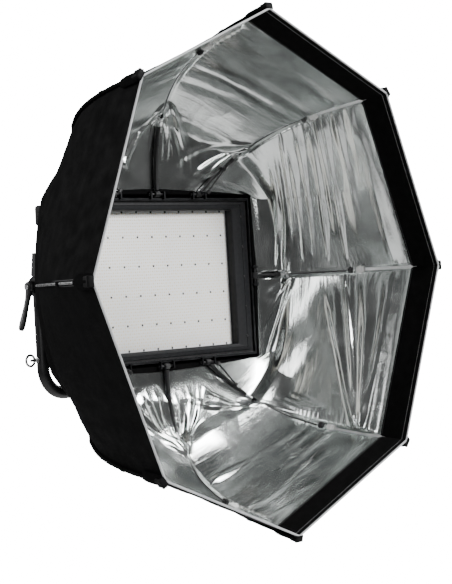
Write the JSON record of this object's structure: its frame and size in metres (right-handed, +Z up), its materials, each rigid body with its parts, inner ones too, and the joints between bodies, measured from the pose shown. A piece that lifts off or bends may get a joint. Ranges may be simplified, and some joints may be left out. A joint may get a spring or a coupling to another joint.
{
  "type": "octabox light",
  "caption": "Eight-ribbed octagonal softbox with black cloth and crinkled silver lining, on an LED panel lamp in a tilting tube yoke.",
  "frame": {"origin": "centre of the spigot's shoulder under the yoke, where it rests on a stand", "axes": "+Z up, the lamp level and the open front facing -Y, +X to the right seen from the front"},
  "size_m": [1.2058, 0.556, 1.2058],
  "materials": {
    "cover_cloth": "matt black coated nylon outside, crinkled silver lining inside",
    "silver_lining": "crinkled metallised film on cloth",
    "hem_band": "black loop tape",
    "piping": "grey woven binding",
    "rib_rod": "drawn rod",
    "rib_arm": "satin black",
    "adapter_frame": "black anodised with bright cut edges",
    "latch": "satin black",
    "lamp_plastic": "fine-textured dark grey",
    "lamp_metal": "fine-textured black paint",
    "led_board": "white solder-masked board with yellow emitters",
    "display": "dark glossy window",
    "bumper": "matt rubber",
    "steel": "turned steel",
    "yoke_paint": "satin black powder coat",
    "control_plastic": "moulded black"
  },
  "bodies": {
    "yoke": {"yoke_tube": "yoke_paint", "yoke_base": "yoke_paint", "spigot": "steel", "tilt_nut": "control_plastic", "eye_bolt": "steel"},
    "head": {"adapter_frame": "adapter_frame", "frame_latch_top_right": "latch", "frame_latch_top_left": "latch", "frame_latch_bottom_right": "latch", "frame_latch_bottom_left": "latch", "lamp_bezel": "lamp_plastic", "led_board": "led_board", "lamp_housing": "lamp_metal", "heat_sink": "lamp_metal", "control_box": "lamp_plastic", "display_window": "display", "power_inlet": "lamp_plastic", "corner_bumper_top_right": "bumper", "corner_bumper_top_left": "bumper", "corner_bumper_bottom_right": "bumper", "corner_bumper_bottom_left": "bumper", "side_bracket_right": "lamp_metal", "side_bracket_left": "lamp_metal", "pivot_stud_right": "steel", "pivot_stud_left": "steel"},
    "tilt_lever": {"tilt_lever": "control_plastic"},
    "dimmer_knob": {"dimmer_knob": "control_plastic"},
    "rib_right": {"rib_arm_right": "rib_arm", "rib_rod_right": "rib_rod"},
    "rib_top_right": {"rib_arm_top_right": "rib_arm", "rib_rod_top_right": "rib_rod", "rib_brace_top_right": "rib_arm"},
    "rib_top": {"rib_arm_top": "rib_arm", "rib_rod_top": "rib_rod", "fabric_top_right": "cover_cloth", "fabric_top_left": "cover_cloth"},
    "rib_top_left": {"rib_arm_top_left": "rib_arm", "rib_rod_top_left": "rib_rod", "rib_brace_top_left": "rib_arm"},
    "rib_left": {"rib_arm_left": "rib_arm", "rib_rod_left": "rib_rod"},
    "rib_bottom_left": {"rib_arm_bottom_left": "rib_arm", "rib_rod_bottom_left": "rib_rod", "rib_brace_bottom_left": "rib_arm"},
    "rib_bottom": {"rib_arm_bottom": "rib_arm", "rib_rod_bottom": "rib_rod", "fabric_bottom_right": "cover_cloth", "fabric_bottom_left": "cover_cloth"},
    "rib_bottom_right": {"rib_arm_bottom_right": "rib_arm", "rib_rod_bottom_right": "rib_rod", "rib_brace_bottom_right": "rib_arm"},
    "corner_top_right_upper": {"corner_top_right_upper": "cover_cloth"},
    "corner_top_right_lower": {"corner_top_right_lower": "cover_cloth"},
    "corner_top_left_upper": {"corner_top_left_upper": "cover_cloth"},
    "corner_top_left_lower": {"corner_top_left_lower": "cover_cloth"},
    "corner_bottom_left_upper": {"corner_bottom_left_upper": "cover_cloth"},
    "corner_bottom_left_lower": {"corner_bottom_left_lower": "cover_cloth"},
    "corner_bottom_right_upper": {"corner_bottom_right_upper": "cover_cloth"},
    "corner_bottom_right_lower": {"corner_bottom_right_lower": "cover_cloth"}
  },
  "joints": [
    {"name": "tilt", "type": "hinge", "parent": "yoke", "child": "head", "pos_m": [0, 0, 0.285], "axis": [-1, 0, 0], "range_deg": [-1, 90]},
    {"name": "tilt_lock", "type": "hinge", "parent": "yoke", "child": "tilt_lever", "pos_m": [-0.386, 0, 0.285], "axis": [1, 0, 0], "range_deg": [-20, 60]},
    {"name": "dimmer", "type": "hinge", "parent": "head", "child": "dimmer_knob", "pos_m": [-0.06, 0.118, 0.319], "axis": [0, 1, 0], "continuous": true},
    {"name": "fold", "type": "hinge", "parent": "head", "child": "rib_top", "pos_m": [0, -0.036, 0.491], "axis": [1, 0, 0], "range_deg": [0, 45], "deforming": ["fabric_top_left", "fabric_top_right", "fabric_bottom_left", "fabric_bottom_right", "corner_top_right_upper", "corner_top_right_lower", "corner_top_left_upper", "corner_top_left_lower", "corner_bottom_left_upper", "corner_bottom_left_lower", "corner_bottom_right_upper", "corner_bottom_right_lower"]},
    {"name": "fold_bottom", "type": "hinge", "parent": "head", "child": "rib_bottom", "pos_m": [0, -0.036, 0.079], "axis": [-1, 0, 0], "range_deg": [0, 45.5]},
    {"name": "fold_right", "type": "hinge", "parent": "head", "child": "rib_right", "pos_m": [0.34, -0.036, 0.285], "axis": [0, 0, -1], "range_deg": [0, 34.5]},
    {"name": "fold_top_right", "type": "hinge", "parent": "rib_top", "child": "rib_top_right", "pos_m": [0.146, -0.036, 0.491], "axis": [-1, 0, 0], "range_deg": [0, 15.9]},
    {"name": "fold_bottom_right", "type": "hinge", "parent": "rib_bottom", "child": "rib_bottom_right", "pos_m": [0.146, -0.036, 0.079], "axis": [1, 0, 0], "range_deg": [0, 15.9]},
    {"name": "fold_left", "type": "hinge", "parent": "head", "child": "rib_left", "pos_m": [-0.34, -0.036, 0.285], "axis": [0, 0, 1], "range_deg": [0, 34.5]},
    {"name": "fold_top_left", "type": "hinge", "parent": "rib_top", "child": "rib_top_left", "pos_m": [-0.146, -0.036, 0.491], "axis": [-1, 0, 0], "range_deg": [0, 15.9]},
    {"name": "fold_bottom_left", "type": "hinge", "parent": "rib_bottom", "child": "rib_bottom_left", "pos_m": [-0.146, -0.036, 0.079], "axis": [1, 0, 0], "range_deg": [0, 15.9]},
    {"name": "pleat_top_right_upper", "type": "hinge", "parent": "rib_top_right", "child": "corner_top_right_upper", "pos_m": [0.34, -0.036, 0.491], "axis": [-0.6157, 0.7592, -0.2112], "range_deg": [0, 50.04]},
    {"name": "pleat_top_right_lower", "type": "hinge", "parent": "rib_right", "child": "corner_top_right_lower", "pos_m": [0.34, -0.036, 0.491], "axis": [-0.2646, 0.7258, 0.6351], "range_deg": [0, 51.18]},
    {"name": "pleat_bottom_right_lower", "type": "hinge", "parent": "rib_bottom_right", "child": "corner_bottom_right_lower", "pos_m": [0.34, -0.036, 0.079], "axis": [0.6157, -0.7592, -0.2112], "range_deg": [0, 50.04]},
    {"name": "pleat_bottom_right_upper", "type": "hinge", "parent": "rib_right", "child": "corner_bottom_right_upper", "pos_m": [0.34, -0.036, 0.079], "axis": [0.2646, -0.7258, 0.6351], "range_deg": [0, 51.18]},
    {"name": "pleat_top_left_upper", "type": "hinge", "parent": "rib_top_left", "child": "corner_top_left_upper", "pos_m": [-0.34, -0.036, 0.491], "axis": [-0.6157, -0.7592, 0.2112], "range_deg": [0, 50.04]},
    {"name": "pleat_top_left_lower", "type": "hinge", "parent": "rib_left", "child": "corner_top_left_lower", "pos_m": [-0.34, -0.036, 0.491], "axis": [-0.2646, -0.7258, -0.6351], "range_deg": [0, 51.18]},
    {"name": "pleat_bottom_left_lower", "type": "hinge", "parent": "rib_bottom_left", "child": "corner_bottom_left_lower", "pos_m": [-0.34, -0.036, 0.079], "axis": [0.6157, 0.7592, 0.2112], "range_deg": [0, 50.04]},
    {"name": "pleat_bottom_left_upper", "type": "hinge", "parent": "rib_left", "child": "corner_bottom_left_upper", "pos_m": [-0.34, -0.036, 0.079], "axis": [0.2646, 0.7258, -0.6351], "range_deg": [0, 51.18]}
  ],
  "couplings": [
    {"joint": "fold_bottom", "follows": "fold", "ratio": 1},
    {"joint": "fold_right", "follows": "fold", "ratio": 0.75556},
    {"joint": "fold_top_right", "follows": "fold", "ratio": 0.34222},
    {"joint": "fold_bottom_right", "follows": "fold", "ratio": 0.34222},
    {"joint": "fold_left", "follows": "fold", "ratio": 0.75556},
    {"joint": "fold_top_left", "follows": "fold", "ratio": 0.34222},
    {"joint": "fold_bottom_left", "follows": "fold", "ratio": 0.34222},
    {"joint": "pleat_top_right_upper", "follows": "fold", "ratio": 1.101},
    {"joint": "pleat_top_right_lower", "follows": "fold", "ratio": 1.1262},
    {"joint": "pleat_bottom_right_lower", "follows": "fold", "ratio": 1.101},
    {"joint": "pleat_bottom_right_upper", "follows": "fold", "ratio": 1.1262},
    {"joint": "pleat_top_left_upper", "follows": "fold", "ratio": 1.101},
    {"joint": "pleat_top_left_lower", "follows": "fold", "ratio": 1.1262},
    {"joint": "pleat_bottom_left_lower", "follows": "fold", "ratio": 1.101},
    {"joint": "pleat_bottom_left_upper", "follows": "fold", "ratio": 1.1262}
  ]
}
